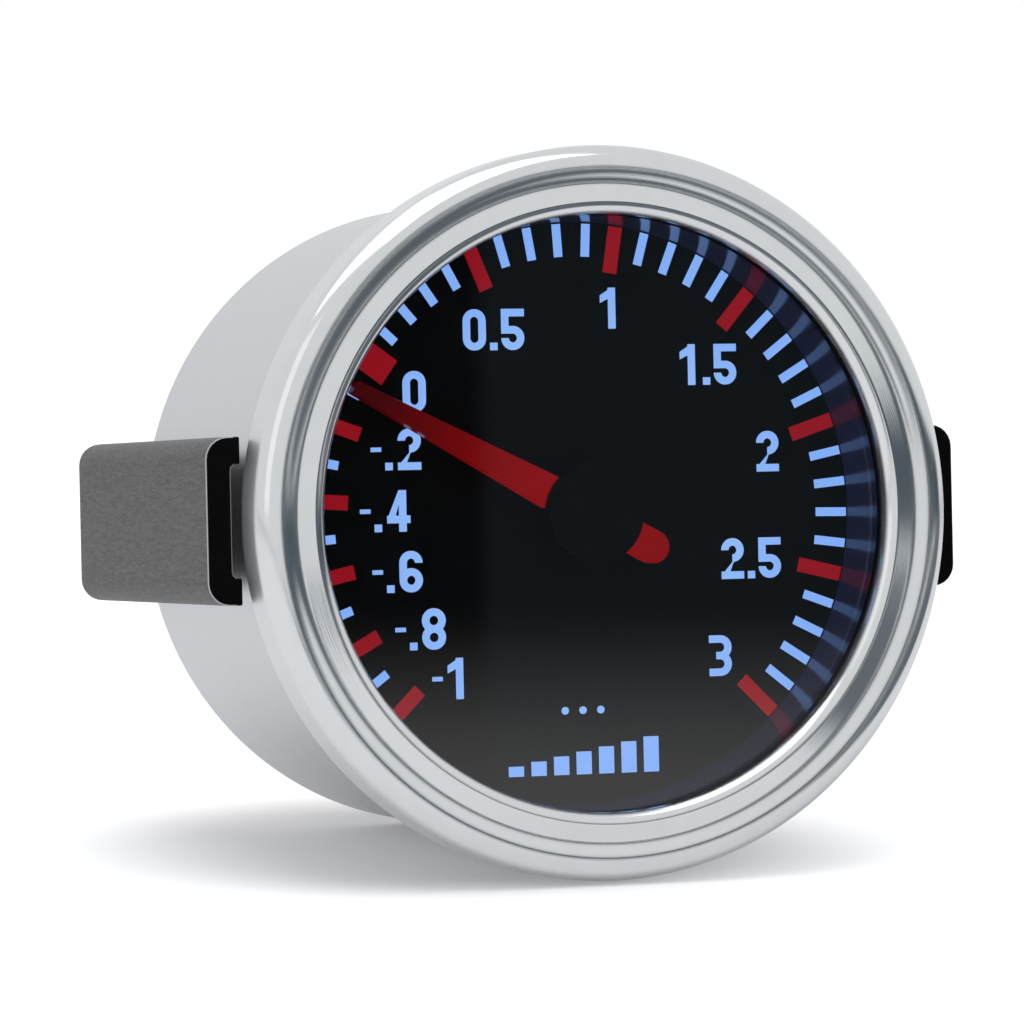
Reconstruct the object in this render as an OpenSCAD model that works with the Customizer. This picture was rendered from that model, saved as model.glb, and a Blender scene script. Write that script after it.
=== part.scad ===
// Panel gauge for boost pressure, in millimetres. The origin is on the gauge's axis, at the plane
// where the bezel seats on a panel. The dial faces -Y, the terminals face +Y and +Z is up.

/* [Case] */
// Outside diameter of the can, which passes through the panel
body_d = 52; // [50:0.5:56]
// Length of the can behind the panel seat
body_len = 37; // [36:0.5:44]
// Wall of the can
can_wall = 0.9; // [0.7:0.1:1.2]
// Thickness of the can's front flange
flange_t = 0.8; // [0.6:0.1:1.2]
// Reach of the can's front flange past its wall
flange_w = 1.2; // [0.9:0.1:1.4]
// Width of the lip turned in at the can's rear end
rear_lip_w = 2.6; // [2:0.2:3.2]

/* [Bezel and lens] */
// Reach of the bezel past the can
bezel_overhang = 2.7; // [2.6:0.1:4]
// Thickness of the edge rolled in behind the can's flange
rolled_edge_t = 0.8; // [0.6:0.1:1]
// Distance from the can's outside to the edge of the window
window_inset = 2.7; // [2.4:0.1:3.2]
// Radius of the bezel's rounded bead
bead_r = 1.75; // [1.6:0.05:1.8]
// Distance of the bead's centre behind the front of the lens
bead_set_back = 0.6; // [0.5:0.05:0.7]
// Thickness of the bezel's lip in front of the lens
lip_t = 0.5; // [0.4:0.1:0.8]
// Height of the raised ring round the window, above the lip
raised_ring_h = 0.5; // [0.4:0.1:0.6]
// Thickness of the lens
lens_t = 1.6; // [1:0.1:2]
// Thickness of the lens gasket
gasket_t = 0.6; // [0.4:0.1:0.8]

/* [Dial] */
// Depth of the dial behind the panel seat
dial_depth = 3.3; // [3.1:0.1:5]
// Wall of the black shroud ring at the dial
shroud_wall = 1.9; // [1.5:0.1:2.4]
// Thickness of the dial
dial_t = 0.8; // [0.5:0.1:1.2]
// Thickness of the marks on the dial
mark_t = 0.1; // [0.05:0.05:0.15]
// Length of a short scale mark
minor_mark_len = 2.6; // [2:0.1:3]
// Length of a long scale mark
major_mark_len = 3.7; // [3:0.1:4.2]
// Width of a short scale mark
minor_mark_w = 0.7; // [0.4:0.05:0.9]
// Width of a long scale mark
major_mark_w = 1.15; // [0.8:0.05:1.4]
// Width of the block at zero
zero_mark_w = 2.3; // [1.6:0.1:2.6]
// Height of a numeral
digit_h = 3.25; // [2.8:0.05:3.5]
// Width of a numeral
digit_w = 1.9; // [1.6:0.05:2.1]
// Width of a numeral's stroke
digit_stroke = 0.6; // [0.4:0.05:0.65]

/* [Pointer] */
// Gap between the pointer's tip and the shroud ring
pointer_tip_gap = 1.2; // [1:0.1:4]
// Reach of the pointer's tail
tail_len = 7.2; // [6:0.2:9]
// Width of the pointer at its root
pointer_root_w = 2.6; // [2:0.1:3]
// Width of the pointer at its tip
pointer_tip_w = 1.05; // [0.6:0.05:1.6]
// Thickness of the pointer
pointer_t = 1.4; // [1:0.1:1.6]
// Gap between the dial and the pointer
pointer_gap = 1.6; // [1:0.1:1.8]
// Diameter of the black cap on the pointer
cap_d = 7.9; // [7:0.1:9]
// Height of the cap above the pointer
cap_rise = 1.2; // [0.8:0.1:1.4]
// Diameter of the pointer shaft
shaft_d = 2; // [1.6:0.1:2.4]

/* [Light guide and boards] */
// Thickness of the clear light guide
guide_t = 2.2; // [1.6:0.1:3]
// Height of the white light box
light_box_h = 1.2; // [1.1:0.1:1.8]
// Wall of the light box
light_box_wall = 2.2; // [1.6:0.1:2.4]
// Height of a lamp on the board
lamp_h = 1; // [0.6:0.1:1.1]
// Number of lamps
lamp_count = 6; // [4:1:8]
// Thickness of a circuit board
board_t = 1.6; // [1:0.1:2]
// Length of the posts between the rear board and the rear cover
post_len = 5.5; // [4:0.1:6]
// Width across the flats of a spacer
spacer_flats = 4; // [3.6:0.2:4.6]
// Distance of the spacers' circle from the edge of a board
spacer_inset = 5.9; // [5.5:0.1:6.3]

/* [Motor] */
// Distance from the bottom of the motor case to the edge of the board
motor_inset = 3.8; // [3.4:0.1:5]
// Teeth of the two wheels
wheel_teeth = 60; // [60:60]
// Teeth of the two pinions
pinion_teeth = 12; // [12:12]
// Thickness of a wheel
wheel_t = 0.9; // [0.6:0.1:1]
// Wall of the motor case
motor_wall = 1; // [0.8:0.1:1.2]
// Radius of the rotor magnet
magnet_r = 3; // [2.4:0.1:3.1]
// Height of the rotor magnet
magnet_h = 2.7; // [2:0.1:3]
// Diameter of the pivots of the small arbors
pivot_d = 1; // [0.8:0.1:1]
// Width of a motor coil
coil_w = 4; // [3:0.1:4.2]
// Thickness of the stator plate
stator_t = 1.2; // [0.8:0.1:1.6]

/* [Rear] */
// Thickness of the rear cover's rim
cover_t = 2; // [1.6:0.1:2.4]
// Width of the power socket
power_socket_w = 13; // [11:0.5:13.5]
// Width of the sensor socket
sensor_socket_w = 10.5; // [9:0.5:12]
// Height of both sockets
socket_h = 7.6; // [7:0.1:8]
// Gap between a socket and the posts of the rear cover
socket_gap = 0.2; // [0.2:0.1:0.8]
// Reach of the sockets past the rear face
socket_reach = 4; // [3:0.5:6]
// Wall of a socket
socket_wall = 1; // [0.8:0.1:1.2]
// Width of a square terminal pin
pin_w = 0.64; // [0.5:0.02:0.8]

/* [Bracket and studs] */
// Distance from the edge of the bezel to the outer face of a leg
leg_step = 2.6; // [2.6:0.1:5]
// Height of the bracket's section
bracket_h = 13; // [11:0.5:14]
// Thickness of the bracket's web
bracket_web = 2; // [1.6:0.1:2.4]
// Thickness of the legs' flanges
leg_flange_t = 2.1; // [1.6:0.1:2.6]
// Depth of the legs' section
leg_depth = 2.75; // [2.45:0.05:2.75]
// Rounding of the bracket's outer edges
bracket_edge_r = 1.75; // [1:0.05:1.8]
// Gap between the legs' feet and the panel seat, at rest
foot_gap = 0.4; // [0.3:0.1:1]
// Distance of each stud from the axis
stud_x = 11; // [10.5:0.1:11.4]
// Diameter of the studs
stud_d = 4; // [3:0.5:5]
// Travel of the bracket along the studs
bracket_travel = 10; // [6:1:14]
// Diameter of the clamp nuts
nut_d = 9.5; // [8.5:0.5:10]
// Height of the clamp nuts
nut_h = 5; // [4:0.5:7]

/* [Fits] */
// Radial clearance of a turning shaft in its bearing
bearing_clearance = 0.05; // [0.03:0.01:0.08]
// Radial clearance of a piece dropped into the can
slip_clearance = 0.2; // [0.1:0.05:0.25]
// Clearance round a screw, peg or socket in its hole
hole_clearance = 0.15; // [0.1:0.05:0.2]
// Gap between a moving piece and its fixed neighbour
running_gap = 0.3; // [0.25:0.05:0.4]

/* [Hidden] */
$fn = 72;
// Overrun of a cut past the face it leaves
cut = 0.5;

// Radii of the case
can_r = body_d / 2;
can_in_r = can_r - can_wall;
inner_r = can_in_r - slip_clearance;
flange_r = can_r + flange_w;
bezel_r = can_r + bezel_overhang;
pocket_fit = 0.1;
pocket_r = flange_r + pocket_fit;
window_r = can_r - window_inset;
wall_r = inner_r - shroud_wall;
spacer_circle_r = inner_r - spacer_inset;

// Depths of the front stack, from the panel seat at y = 0
flange_back_y = -rolled_edge_t;
flange_front_y = flange_back_y - flange_t;
lens_back_y = flange_front_y - gasket_t;
lens_front_y = lens_back_y - lens_t;
lip_front_y = lens_front_y - lip_t;
dial_back_y = dial_depth + dial_t;
guide_back_y = dial_back_y + guide_t;
board_front_y = guide_back_y + light_box_h;
board_back_y = board_front_y + board_t;
cover_back_y = body_len - can_wall;
cover_front_y = cover_back_y - cover_t;
rear_board_back_y = cover_front_y - post_len;
rear_board_front_y = rear_board_back_y - board_t;

// Scale: angles from +X, anticlockwise as seen from the front, and degrees per bar
scale_start_angle = 225;
zero_angle = 144;
vacuum_slope = scale_start_angle - zero_angle;
boost_slope = 63;
full_scale_bar = 3;
steps_per_bar = 10;
rest_bar = -0.1;
mark_outer_r = wall_r - pocket_fit;
function scale_angle(bar) = zero_angle - bar * (bar < 0 ? vacuum_slope : boost_slope);
rest_angle = scale_angle(rest_bar);

// Pointer and shaft
pointer_len = wall_r - pointer_tip_gap;
pointer_back_y = dial_depth - pointer_gap;
pointer_front_y = pointer_back_y - pointer_t;
pointer_hub_r = 2.9;
pointer_boss_r = 1.9;
pointer_boss_h = 0.9;
cap_skirt_fit = 0.1;
shaft_r = shaft_d / 2;
dial_hole_r = shaft_r + 0.6 * shaft_r;
shaft_end_y = pointer_front_y + 0.3 * pointer_t;

// Gear train: the shaft is on the axis, the idler lies off it and the rotor hangs below. The
// module of the teeth fills the height that the case leaves between the axis and the rotor.
train_angle = -atan2(4, 3);
case_gap = 0.5;
pole_ring_w = 1.85;
magnet_gap = 0.35;
pole_in_r = magnet_r + magnet_gap;
pole_out_r = pole_in_r + pole_ring_w;
rotor_drop = inner_r - motor_inset - motor_wall - case_gap - pole_out_r;
gear_module = rotor_drop / ((wheel_teeth + pinion_teeth) * sin(-train_angle));
centre_dist = gear_module * (wheel_teeth + pinion_teeth) / 2;
idler_at = centre_dist * [cos(train_angle), sin(train_angle)];
rotor_at = [0, -rotor_drop];
addendum_share = 0.75;
dedendum_share = 1;
backlash_share = 0.12;
pressure_angle = 20;
wheel_phase = 0;
idler_pinion_phase = mesh_phase(train_angle, wheel_phase, wheel_teeth, pinion_teeth);
rotor_phase = mesh_phase(180 - train_angle, wheel_phase, wheel_teeth, pinion_teeth);
wheel_tip_r = gear_module * (wheel_teeth / 2 + addendum_share);
pivot_r = pivot_d / 2;

// Depths inside the motor case
axial_play = 0.3;
plate_gap = 0.4;
motor_front_y = board_back_y;
motor_inner_front_y = motor_front_y + motor_wall;
output_wheel_y = motor_inner_front_y + plate_gap;
idler_wheel_y = output_wheel_y + wheel_t + axial_play;
coil_front_y = idler_wheel_y + wheel_t + plate_gap;
stator_front_y = coil_front_y + (coil_w - stator_t) / 2;
stator_back_y = stator_front_y + stator_t;
magnet_front_y = stator_front_y + stator_t / 2 - magnet_h / 2;
motor_inner_back_y = coil_front_y + coil_w + plate_gap;
motor_back_y = motor_inner_back_y + motor_wall;
bearing_depth = motor_wall / 2;
bearing_end_play = 0.05;

// Outline of the motor case, worked out from the train inside it
case_corner_r = 4;
case_right = idler_at[0] + wheel_tip_r + case_gap + motor_wall;
case_top = wheel_tip_r + case_gap + motor_wall;
case_left = coil_x() + coil_w / 2 + case_gap + motor_wall;
case_bottom = rotor_drop + pole_out_r + case_gap + motor_wall;
function coil_x() = max(idler_at[0] + pivot_d / 2 + 0.7 * pivot_d, pole_out_r + plate_gap) + coil_w / 2;
stator_bar_w = 2.4;
core_w = 2;
stator_top = -stator_bar_w / 2 - pivot_d;
stator_post_r = 0.9;
post_share = 0.5;
peg_r = 0.8;
peg_inset = [4.6, 2.6];
peg_at = [case_left - peg_inset[0], case_top - peg_inset[1]];
peg_sides = [-1, 1];

// Board fasteners and parts
spacer_angles = [90, 195, 345];
screw_r = 1.2;
screw_hole_r = screw_r + hole_clearance;
screw_head_r = 2;
screw_head_h = 1;
thread_depth = 4;
lamp_size = [3.2, 2.8];
lamp_circle_r = 13;
box_hub_r = 5;
box_hub_wall = 1.4;
box_rib_w = 1.2;
box_rib_angles = [60, 180, 300];
chip_size = 7;
chip_h = 1;
chip_at = inner_r * [0.321, 0.562];
link_pitch = 2.54;
link_count = 5;
link_x = -0.663 * inner_r;
link_z = 0.281 * inner_r;
link_block = [2.5, 2.4];
capacitor_r = 4;
capacitor_h = 7;
capacitor_at = [0.361 * inner_r, case_top + running_gap + capacitor_r];
regulator_size = [6.5, 6];
regulator_h = 2.3;
regulator_at = inner_r * [-0.64, -0.48];

// Rear cover, sockets and studs
leg_reach = bezel_r + leg_step;
cover_hub_r = can_in_r - rear_lip_w - slip_clearance;
cover_post_r = 3;
socket_offset = spacer_circle_r - cover_post_r - socket_gap - socket_h / 2;
cover_head_r = 2.1;
cover_head_h = 1.5;
socket_floor_t = 2.4;
socket_back_y = body_len + socket_reach;
pin_tip_y = socket_back_y - 4.8 * socket_wall;
pin_tail = 1;
pin_pitch = 2.54;
stud_r = stud_d / 2;
stud_head_flats = 7;
stud_head_h = 3;
stud_boss_r = 4.5;
stud_boss_h = 0.9;
bar_front_y = body_len + stud_boss_h + running_gap;
bar_back_y = bar_front_y + bracket_web;
bracket_corner_r = 3;
stud_hole_r = stud_r + 2 * hole_clearance;
washer_r = 4.5;
washer_t = 0.8;
spring_washer_r = 3.6;
spring_washer_t = 0.9;
spring_split_w = 0.5;
nut_gap = 0.1;
nut_front_y = bar_back_y + washer_t + spring_washer_t + nut_gap;
nut_back_y = nut_front_y + nut_h;
nut_flutes = 20;
nut_flute_r = 0.4;
nut_collar_h = 1;
stud_end_y = nut_back_y + bracket_travel + 1;

// Turns drawings so that their x is X, their y is Z, and they rise from plane y towards the front
module face_on(y) translate([0, y, 0]) rotate([90, 0, 0]) children();

// A drawing given the thickness between two depths
module slab(front_y, back_y) face_on(back_y) linear_extrude(back_y - front_y) children();

// A turned piece from points given as [radius, depth]
module turned(points) rotate([90, 0, 0]) rotate_extrude() polygon([for (p = points) [p[0], -p[1]]]);

module ring_2d(outer, inner) difference() {
    circle(outer);
    circle(inner);
}

module hexagon_2d(flats) circle(flats / 2 / cos(30), $fn = 6);

module rounded_2d(left, right, bottom, top, r) {
    translate([left + r, bottom]) square([right - left - 2 * r, top - bottom]);
    translate([left, bottom + r]) square([right - left, top - bottom - 2 * r]);
    for (x = [left + r, right - r], z = [bottom + r, top - r]) translate([x, z]) circle(r);
}

module bar_2d(length, width) translate([-length / 2, -width / 2]) square([length, width]);

module round_bar_2d(length, width) {
    bar_2d(length - width, width);
    for (side = [-1, 1]) translate([side * (length - width) / 2, 0]) circle(width / 2);
}

// Places copies at a radius and a list of angles
module around(radius, angles) for (a = angles) rotate(a) translate([radius, 0]) children();

// Angle that puts a gear in mesh with the gear it is driven by
function mesh_phase(direction, phase, teeth, driven_teeth) =
    direction + 180 + (0.5 - (phase - direction) * teeth / 360) * 360 / driven_teeth;

// Half of a tooth's angle at a radius, from the involute
function roll_angle(base, r) = acos(min(1, base / r));
function involute(a) = tan(a) * 180 / PI - a;
function half_tooth(teeth, base, r) =
    90 / teeth * (1 - backlash_share) + involute(pressure_angle) - involute(roll_angle(base, r));

module gear_2d(teeth) {
    pitch_r = gear_module * teeth / 2;
    base_r = pitch_r * cos(pressure_angle);
    tip_r = pitch_r + gear_module * addendum_share;
    root_r = pitch_r - gear_module * dedendum_share;
    low_r = max(root_r, base_r);
    radii = [root_r, (low_r + pitch_r) / 2, pitch_r, tip_r];
    polygon([for (i = [0:teeth - 1], side = [-1, 1], k = [0:len(radii) - 1])
        let (r = radii[side < 0 ? k : len(radii) - 1 - k],
            a = i * 360 / teeth + side * half_tooth(teeth, base_r, r))
        r * [cos(a), sin(a)]]);
}

// Numerals are drawn upright round their centre
module stroke_v(x, low, high) translate([x - digit_stroke / 2, low]) square([digit_stroke, high - low]);
module stroke_h(y, left, right) translate([left, y - digit_stroke / 2]) square([right - left, digit_stroke]);
module quarter_mask(x_side, y_side) scale([x_side, y_side]) square(digit_h);
bowl_r = digit_w / 2;
bowl_mid_r = bowl_r - digit_stroke / 2;
digit_top = digit_h / 2;
edge_x = digit_w / 2 - digit_stroke / 2;
edge_y = digit_h / 2 - digit_stroke / 2;

module bowl(y, quarters) translate([0, y]) for (q = quarters) intersection() {
    ring_2d(bowl_r, bowl_r - digit_stroke);
    translate([q[0] > 0 ? 0 : -digit_w, q[1] > 0 ? 0 : -digit_w]) square(digit_w);
}
TOP = [[-1, 1], [1, 1]];
BOTTOM = [[-1, -1], [1, -1]];

module digit_0() {
    bowl(digit_top - bowl_r, TOP);
    bowl(bowl_r - digit_top, BOTTOM);
    for (side = [-1, 1]) stroke_v(side * edge_x, bowl_r - digit_top, digit_top - bowl_r);
}

module digit_1() {
    stroke_v(edge_x / 2, -digit_top, digit_top);
    polygon([[edge_x / 2, digit_top], [edge_x / 2, digit_top - 1.2 * digit_stroke],
        [-edge_x, digit_top - 2 * digit_stroke], [-edge_x, digit_top - digit_stroke]]);
}

module digit_2() {
    bowl(digit_top - bowl_r, concat(TOP, [[1, -1]]));
    stroke_h(-edge_y, -digit_w / 2, digit_w / 2);
    knee = digit_top - 2 * bowl_r;
    polygon([[-digit_w / 2, -edge_y], [digit_stroke - digit_w / 2, -edge_y],
        [bowl_mid_r / 2, knee + digit_stroke], [0, knee]]);
}

module digit_3() {
    r = (digit_h + digit_stroke) / 4;
    for (side = [-1, 1]) {
        y = side * (digit_top - r);
        intersection() {
            translate([bowl_r - r, y]) ring_2d(r, r - digit_stroke);
            translate([bowl_r - r, y - r]) square([digit_w, 2 * r]);
        }
        stroke_h(side * edge_y, -digit_w / 2, bowl_r - r);
    }
    stroke_h(0, digit_stroke - digit_w / 2, bowl_r - r);
}

module digit_4() {
    stroke_v(edge_x / 2, -digit_top, digit_top);
    stroke_h(-edge_y / 2, -digit_w / 2, digit_w / 2);
    polygon([[-digit_w / 2, -edge_y / 2], [digit_stroke - digit_w / 2, -edge_y / 2],
        [edge_x / 2, digit_top], [edge_x / 2 - digit_stroke / 2, digit_top]]);
}

module digit_5() {
    bowl(bowl_r - digit_top, concat(BOTTOM, [[1, 1]]));
    stroke_h(2 * bowl_r - digit_top - digit_stroke / 2, -digit_w / 2, 0);
    stroke_h(edge_y, -digit_w / 2, digit_w / 2);
    stroke_v(-edge_x, 2 * bowl_r - digit_top - digit_stroke, digit_top);
}

module digit_6() {
    bowl(bowl_r - digit_top, concat(TOP, BOTTOM));
    stroke_v(-edge_x, bowl_r - digit_top, digit_top - bowl_r);
    bowl(digit_top - bowl_r, TOP);
}

module digit_8() {
    r = (digit_h + digit_stroke) / 4;
    flat = bowl_r - r;
    for (side = [-1, 1]) translate([0, side * (digit_top - r)]) {
        for (x = [-flat, flat]) translate([x, 0]) intersection() {
            ring_2d(r, r - digit_stroke);
            translate([x > 0 ? 0 : -r, -r]) square([r, 2 * r]);
        }
        for (y = [digit_stroke / 2 - r, r - digit_stroke / 2]) stroke_h(y, -flat, flat);
    }
}

module digit(value) {
    if (value == 0) digit_0();
    if (value == 1) digit_1();
    if (value == 2) digit_2();
    if (value == 3) digit_3();
    if (value == 4) digit_4();
    if (value == 5) digit_5();
    if (value == 6) digit_6();
    if (value == 8) digit_8();
}

// A numeral's glyphs: digits 0 to 9, a point and a minus sign, each with the place of its centre
POINT = 10;
MINUS = 11;
glyph_step = digit_w + 0.7;
point_step = 1.7;
minus_w = 0.85;
minus_h = 0.35;
module glyph(value) {
    if (value < POINT) digit(value);
    if (value == POINT) translate([0, digit_stroke / 2 - digit_top]) bar_2d(digit_stroke, digit_stroke);
    if (value == MINUS) bar_2d(minus_w, minus_h);
}
// Whole and half values have a first digit, a point and a five
module half_value(first) {
    translate([-glyph_step / 2 - digit_stroke / 2, 0]) glyph(first);
    glyph(POINT);
    translate([glyph_step / 2 + digit_stroke / 2, 0]) glyph(5);
}
// Vacuum tenths have a minus sign, a point and a digit, centred on the digit
module tenth_value(last) {
    glyph(last);
    translate([-point_step, 0]) glyph(POINT);
    translate([-point_step - 1.05, 0]) glyph(MINUS);
}

// Places of the numerals, as shares of the scale's outer radius
numeral_shares = [
    [0, [-0.59, 0.428]], [0.5, [-0.298, 0.637]], [1, [0.123, 0.707]], [1.5, [0.485, 0.508]],
    [2, [0.708, 0.202]], [2.5, [0.638, -0.17]], [3, [0.515, -0.507]],
    [-0.2, [-0.612, 0.232]], [-0.4, [-0.655, 0.022]], [-0.6, [-0.615, -0.186]],
    [-0.8, [-0.537, -0.384]], [-1, [-0.462, -0.556]]];

module numerals_2d() for (entry = numeral_shares) {
    bar = entry[0];
    translate(mark_outer_r * entry[1]) {
        if (bar == 0 || bar == 1 || bar == 2 || bar == 3) glyph(bar);
        if (bar == 0.5 || bar == 1.5 || bar == 2.5) half_value(bar - 0.5);
        if (bar < 0 && bar > -1) tenth_value(round(-bar * steps_per_bar));
        if (bar == -1) {
            glyph(1);
            translate([-glyph_step / 2 - minus_w / 4, 0]) glyph(MINUS);
        }
    }
}

// Blocks that rise from left to right fill the place below the pointer
level_count = 7;
level_pitch = 1.9;
level_w = 1.25;
level_low = 0.8;
level_high = 2.8;
level_place_share = -0.84;
dot_count = 3;
dot_pitch = 1.5;
dot_place_share = -0.68;
module level_motif_2d() translate([0, level_place_share * mark_outer_r]) for (i = [0:level_count - 1]) {
    h = level_low + (level_high - level_low) * i / (level_count - 1);
    translate([(i - (level_count - 1) / 2) * level_pitch - level_w / 2, -level_high / 2]) square([level_w, h]);
}
module dot_motif_2d() translate([0, dot_place_share * mark_outer_r])
    for (i = [0:dot_count - 1]) translate([(i - (dot_count - 1) / 2) * dot_pitch, 0]) circle(digit_stroke / 2);

module scale_mark_2d(bar, length, width)
    rotate(scale_angle(bar)) translate([mark_outer_r - length, -width / 2]) square([length, width]);

// Tenths of a bar from the start of the scale to its end
function is_major(step) = step < 0 ? step % 2 == 0 : step % 5 == 0;

module bezel() color("gainsboro") rotate([90, 0, 0]) rotate_extrude() {
    bead_centre_r = bezel_r - bead_r;
    bead_y = lens_front_y + bead_set_back;
    groove_share = 0.83;
    groove_r = bead_centre_r - groove_share * bead_r;
    groove_y = bead_y - bead_r * sqrt(1 - groove_share * groove_share);
    ring_front_y = lip_front_y - raised_ring_h;
    ring_bevel_w = 0.25 * (groove_r - window_r);
    difference() {
        union() {
            polygon([for (p = [[can_r + pocket_fit, 0], [bezel_r, 0], [bezel_r, bead_y],
                    [groove_r, bead_y], [groove_r, groove_y],
                    [groove_r - ring_bevel_w / 2, ring_front_y], [window_r + ring_bevel_w, ring_front_y],
                    [window_r, lip_front_y], [window_r, lens_front_y], [can_r + pocket_fit, lens_front_y]])
                [p[0], -p[1]]]);
            translate([bead_centre_r, -bead_y]) circle(bead_r);
        }
        translate([0, -flange_back_y]) square([pocket_r, flange_back_y - lens_front_y]);
    }
}

module lens() color([0.8, 0.9, 1, 0.3]) slab(lens_front_y, lens_back_y) circle(flange_r);

module lens_gasket() color("black") slab(lens_back_y, flange_front_y) ring_2d(flange_r, can_in_r);

module shroud_ring() color([0.03, 0.03, 0.04]) turned([[window_r, lens_back_y], [inner_r, lens_back_y],
    [inner_r, dial_depth], [wall_r, dial_depth]]);

module body_can() color("silver") turned([[can_in_r, flange_front_y], [flange_r, flange_front_y],
    [flange_r, flange_back_y], [can_r, flange_back_y], [can_r, body_len],
    [can_in_r - rear_lip_w, body_len], [can_in_r - rear_lip_w, cover_back_y], [can_in_r, cover_back_y]]);

module pointer_outline_2d(extra = 0) {
    root_r = cap_d / 2;
    polygon([[0, -pointer_root_w / 2 - extra], [root_r, -pointer_root_w / 2 - extra],
        [pointer_len, -pointer_tip_w / 2 - extra], [pointer_len, pointer_tip_w / 2 + extra],
        [root_r, pointer_root_w / 2 + extra], [0, pointer_root_w / 2 + extra]]);
    rotate(180) {
        translate([0, -pointer_root_w / 2 - extra])
            square([tail_len - pointer_root_w / 2, pointer_root_w + 2 * extra]);
        translate([tail_len - pointer_root_w / 2, 0]) circle(pointer_root_w / 2 + extra);
    }
}

module pointer() color([0.8, 0.05, 0.06]) {
    slab(pointer_front_y, pointer_back_y) difference() {
        rotate(rest_angle) union() {
            pointer_outline_2d();
            circle(pointer_hub_r);
        }
        circle(shaft_r + cap_skirt_fit / 5);
    }
    slab(pointer_back_y, pointer_back_y + pointer_boss_h)
        ring_2d(pointer_boss_r, shaft_r + cap_skirt_fit / 5);
}

module pointer_cap() color([0.02, 0.02, 0.02]) {
    slab(pointer_front_y - cap_rise, pointer_front_y) circle(cap_d / 2);
    slab(pointer_front_y, pointer_back_y) difference() {
        ring_2d(cap_d / 2, pointer_hub_r + cap_skirt_fit);
        rotate(rest_angle) pointer_outline_2d(cap_skirt_fit);
    }
}

module dial_face() color([0.04, 0.04, 0.05]) slab(dial_depth, dial_back_y) ring_2d(inner_r, dial_hole_r);

module scale_marks_white() color([0.6, 0.75, 1]) slab(dial_depth - mark_t, dial_depth) {
    for (step = [-steps_per_bar:full_scale_bar * steps_per_bar]) if (!is_major(step))
        scale_mark_2d(step / steps_per_bar, minor_mark_len, minor_mark_w);
    numerals_2d();
    level_motif_2d();
    dot_motif_2d();
}

module scale_marks_red() color([0.75, 0.08, 0.12]) slab(dial_depth - mark_t, dial_depth)
    for (step = [-steps_per_bar:full_scale_bar * steps_per_bar]) if (is_major(step))
        scale_mark_2d(step / steps_per_bar, major_mark_len, step == 0 ? zero_mark_w : major_mark_w);

module light_guide() color([0.9, 0.95, 1, 0.5]) slab(dial_back_y, guide_back_y) ring_2d(inner_r, dial_hole_r);

module light_box() color("white") slab(guide_back_y, board_front_y) {
    ring_2d(inner_r, inner_r - light_box_wall);
    ring_2d(box_hub_r + box_hub_wall, box_hub_r);
    reach = inner_r - light_box_wall / 2 - box_hub_r - box_hub_wall / 2;
    around(box_hub_r + box_hub_wall / 2 + reach / 2, box_rib_angles) bar_2d(reach, box_rib_w);
}

module dial_lamps() color("lightyellow") slab(board_front_y - lamp_h, board_front_y)
    around(lamp_circle_r, [for (i = [0:lamp_count - 1]) (i + 0.5) * 360 / lamp_count])
        bar_2d(lamp_size[1], lamp_size[0]);

module main_board() color("darkgreen") slab(board_front_y, board_back_y) difference() {
    circle(inner_r);
    circle(dial_hole_r);
    around(spacer_circle_r, spacer_angles) circle(screw_hole_r);
    for (s = peg_sides) translate([s * peg_at[0], peg_at[1]]) circle(peg_r + hole_clearance / 2);
}

module board_screws() color("lightgrey") {
    slab(board_front_y - screw_head_h, board_front_y) around(spacer_circle_r, spacer_angles) circle(screw_head_r);
    slab(board_front_y, board_back_y + thread_depth) around(spacer_circle_r, spacer_angles) circle(screw_r);
}

module board_spacers() color("goldenrod") difference() {
    slab(board_back_y, rear_board_front_y) around(spacer_circle_r, spacer_angles) hexagon_2d(spacer_flats);
    bore_r = screw_r + bearing_clearance;
    slab(board_back_y - cut, board_back_y + thread_depth + cut)
        around(spacer_circle_r, spacer_angles) circle(bore_r);
    slab(rear_board_front_y - thread_depth - cut, rear_board_front_y + cut)
        around(spacer_circle_r, spacer_angles) circle(bore_r);
}

module motor_outline_2d(wall = 0) rounded_2d(-case_left + wall, case_right - wall, -case_bottom + wall,
    case_top - wall, case_corner_r - wall);

module bearings_2d(extra) for (place = [[0, 0], idler_at, rotor_at]) translate(place) circle(pivot_r + extra);

module motor_case_front() color([0.12, 0.12, 0.13]) difference() {
    union() {
        slab(motor_front_y, motor_inner_front_y) motor_outline_2d();
        slab(board_front_y, motor_front_y)
            for (s = peg_sides) translate([s * peg_at[0], peg_at[1]]) circle(peg_r);
    }
    slab(motor_front_y - cut, motor_inner_front_y + cut) circle(shaft_r + bearing_clearance);
    slab(motor_inner_front_y - bearing_depth, motor_inner_front_y + cut)
        for (place = [idler_at, rotor_at]) translate(place) circle(pivot_r + bearing_clearance);
}

module motor_case_rear() color([0.12, 0.12, 0.13]) difference() {
    union() {
        slab(motor_inner_front_y, motor_back_y) difference() {
            motor_outline_2d();
            motor_outline_2d(motor_wall);
        }
        slab(motor_inner_back_y, motor_back_y) motor_outline_2d();
        slab(stator_back_y, motor_inner_back_y) for (side = [-1, 1]) {
            translate([side * coil_x() * post_share, stator_top]) circle(stator_post_r);
            translate([side * (pole_out_r + coil_x()) / 2, rotor_at[1]]) circle(stator_post_r);
        }
    }
    slab(motor_inner_back_y - cut, motor_inner_back_y + bearing_depth) bearings_2d(bearing_clearance);
}

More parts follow.
